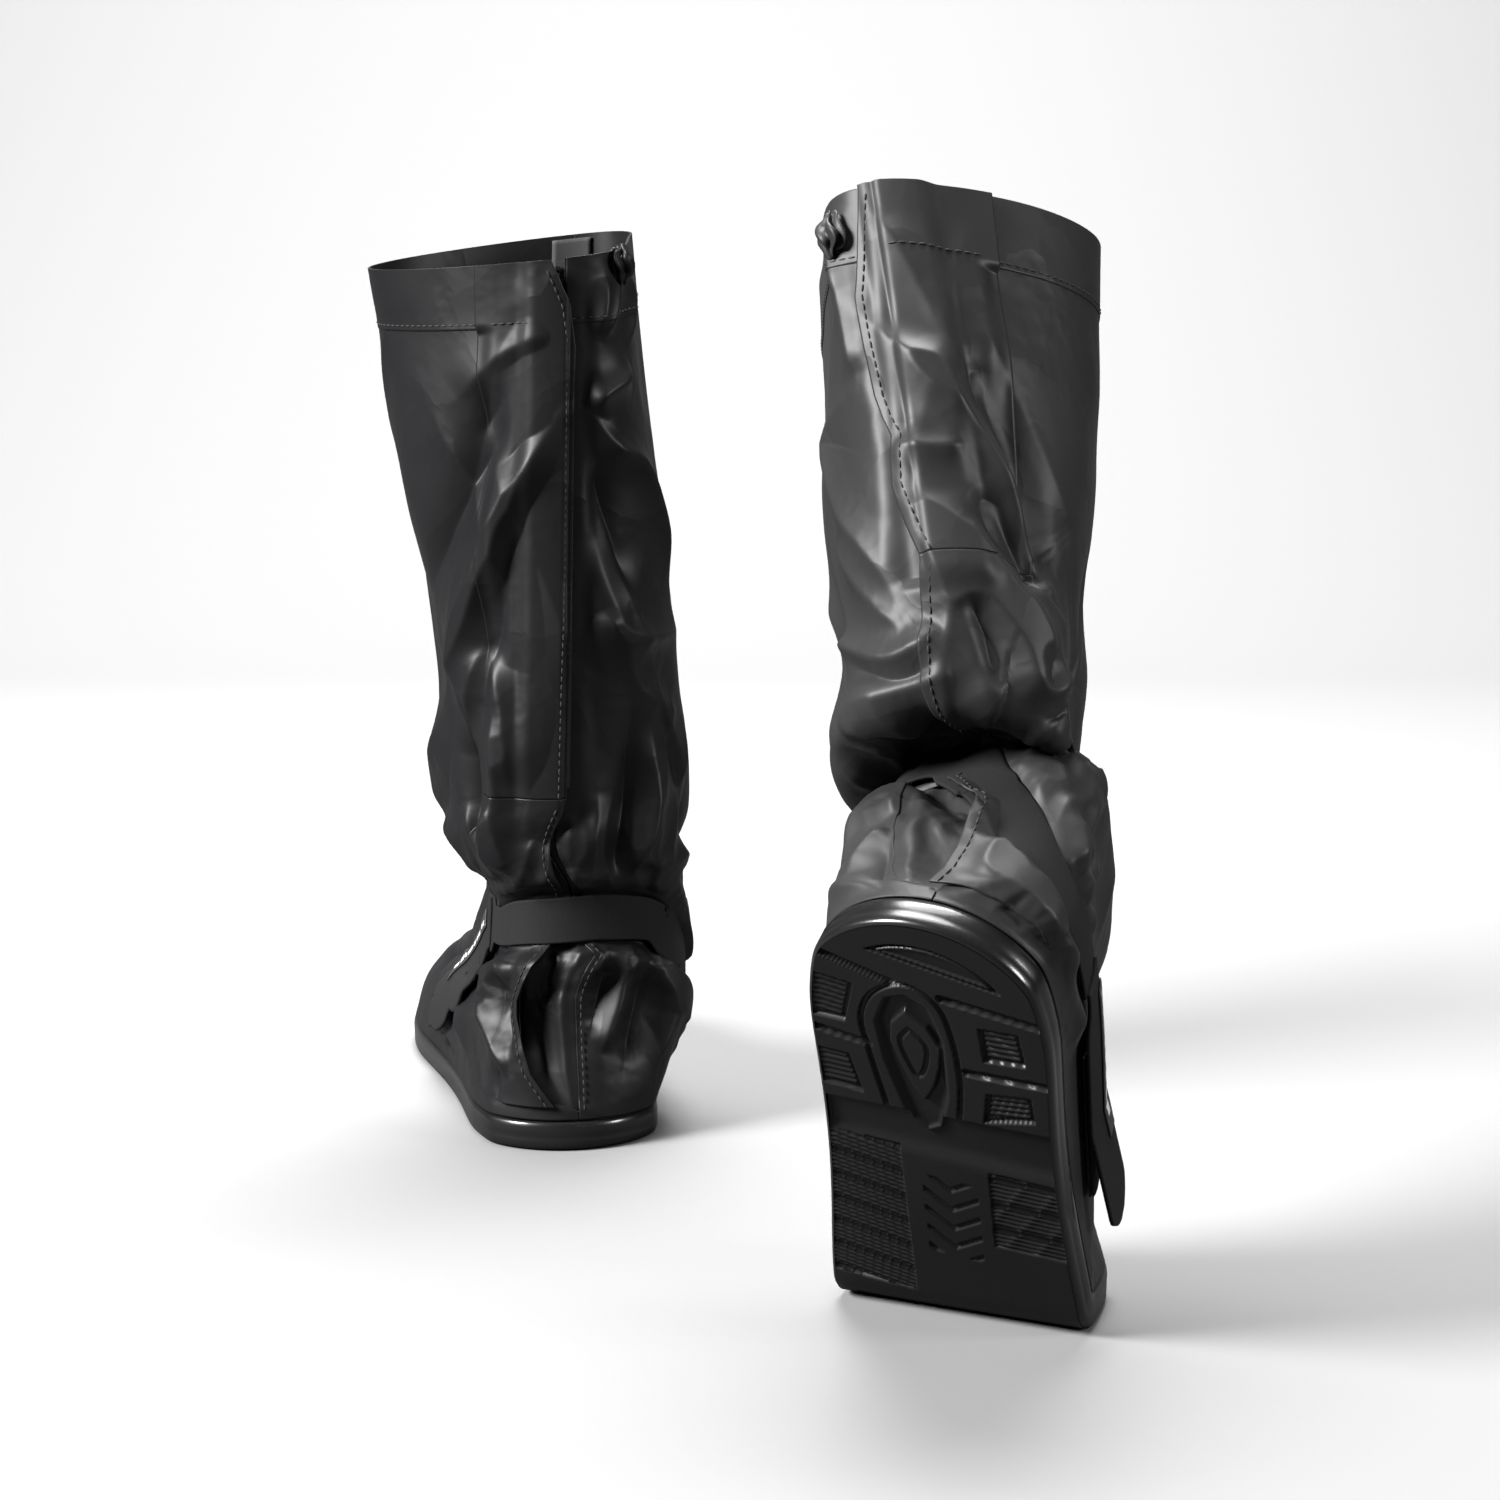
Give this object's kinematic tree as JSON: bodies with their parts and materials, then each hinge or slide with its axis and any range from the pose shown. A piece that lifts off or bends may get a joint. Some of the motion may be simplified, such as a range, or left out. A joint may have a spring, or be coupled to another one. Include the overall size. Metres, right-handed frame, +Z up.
{
  "type": "pair of waterproof boot covers",
  "caption": "Pair of tall black waterproof boot covers with rubber soles, rear zips under storm flaps, ankle straps and one heel lifted.",
  "frame": {"origin": "centre of the box of the pair on the floor, under the left outsole's rest face", "axes": "+X to the wearer's right, +Y towards the toes, +Z up"},
  "size_m": [0.3302, 0.6546, 0.4405],
  "materials": {
    "nylon": "satin",
    "nylon_light": "satin",
    "tape": "matte",
    "rubber_sole": "satin",
    "board": "matte",
    "elastic": "matte",
    "reflector": "satin",
    "zip_coil": "satin",
    "zip_metal": "satin",
    "fastener": "matte",
    "label": "satin"
  },
  "bodies": {
    "left_boot": {"left_outsole": "rubber_sole", "left_insole_board": "board", "left_medial_panel": "nylon", "left_lateral_panel": "nylon", "left_front_seam_tape": "tape", "left_hem_band": "nylon", "left_cuff_elastic": "elastic", "left_shin_reflector": "reflector", "left_heel_gusset": "nylon", "left_heel_flap": "nylon", "left_zip_tape_medial": "tape", "left_zip_tape_lateral": "tape", "left_zip_coil": "zip_coil", "left_zip_stops": "zip_coil", "left_flap_loop_strip": "fastener", "left_ankle_strap": "elastic", "left_strap_anchor": "nylon", "left_tab_loop_pad": "fastener"},
    "left_slider": {"left_zip_slider": "zip_metal"},
    "left_puller": {"left_zip_puller": "zip_metal"},
    "left_flap": {"left_storm_flap": "nylon", "left_flap_hook_strip": "fastener"},
    "left_tab": {"left_strap_tab": "elastic", "left_tab_hook_pad": "fastener", "left_tab_label": "label"},
    "right_boot": {"right_outsole": "rubber_sole", "right_insole_board": "board", "right_medial_panel": "nylon_light", "right_lateral_panel": "nylon_light", "right_front_seam_tape": "tape", "right_hem_band": "nylon_light", "right_cuff_elastic": "elastic", "right_shin_reflector": "reflector", "right_heel_gusset": "nylon_light", "right_heel_flap": "nylon_light", "right_zip_tape_medial": "tape", "right_zip_tape_lateral": "tape", "right_zip_coil": "zip_coil", "right_zip_stops": "zip_coil", "right_flap_loop_strip": "fastener", "right_ankle_strap": "elastic", "right_strap_anchor": "nylon_light", "right_tab_loop_pad": "fastener"},
    "right_slider": {"right_zip_slider": "zip_metal"},
    "right_puller": {"right_zip_puller": "zip_metal"},
    "right_flap": {"right_storm_flap": "nylon_light", "right_flap_hook_strip": "fastener"},
    "right_tab": {"right_strap_tab": "elastic", "right_tab_hook_pad": "fastener", "right_tab_label": "label"}
  },
  "joints": [
    {"name": "left_zip_slide", "type": "slide", "parent": "left_boot", "child": "left_slider", "axis": [-0.0283, 0.0866, -0.9958], "range_m": [0, 0.2204]},
    {"name": "left_puller_swing", "type": "hinge", "parent": "left_slider", "child": "left_puller", "pos_m": [-0.0673, 0.02273, 0.40464], "axis": [-0.9996, -0.0025, 0.0282], "range_deg": [0, 150]},
    {"name": "left_flap_open", "type": "hinge", "parent": "left_boot", "child": "left_flap", "pos_m": [-0.10343, 0.05268, 0.17067], "axis": [0.0009, 0.0846, -0.9964], "range_deg": [0, 100]},
    {"name": "left_tab_peel", "type": "hinge", "parent": "left_boot", "child": "left_tab", "pos_m": [-0.10737, 0.0965, 0.09559], "axis": [-0.0183, 0.5479, 0.8363], "range_deg": [0, 40]},
    {"name": "right_zip_slide", "type": "slide", "parent": "right_boot", "child": "right_slider", "axis": [0.1265, -0.3674, -0.9214], "range_m": [0, 0.1189]},
    {"name": "right_puller_swing", "type": "hinge", "parent": "right_slider", "child": "right_puller", "pos_m": [0.07752, -0.18878, 0.42556], "axis": [-0.992, -0.0468, -0.1175], "range_deg": [0, 150]},
    {"name": "right_flap_open", "type": "hinge", "parent": "right_boot", "child": "right_flap", "pos_m": [0.12901, -0.22564, 0.29389], "axis": [-0.094, 0.3505, 0.9318], "range_deg": [0, 100]},
    {"name": "right_tab_peel", "type": "hinge", "parent": "right_boot", "child": "right_tab", "pos_m": [0.14841, -0.26198, 0.14098], "axis": [-0.2355, -0.8429, -0.4838], "range_deg": [0, 40]},
    {"name": "right_boot_lift", "type": "slide", "parent": "left_boot", "child": "right_boot", "axis": [0, 0, 1], "range_m": [0, 0.15]}
  ]
}
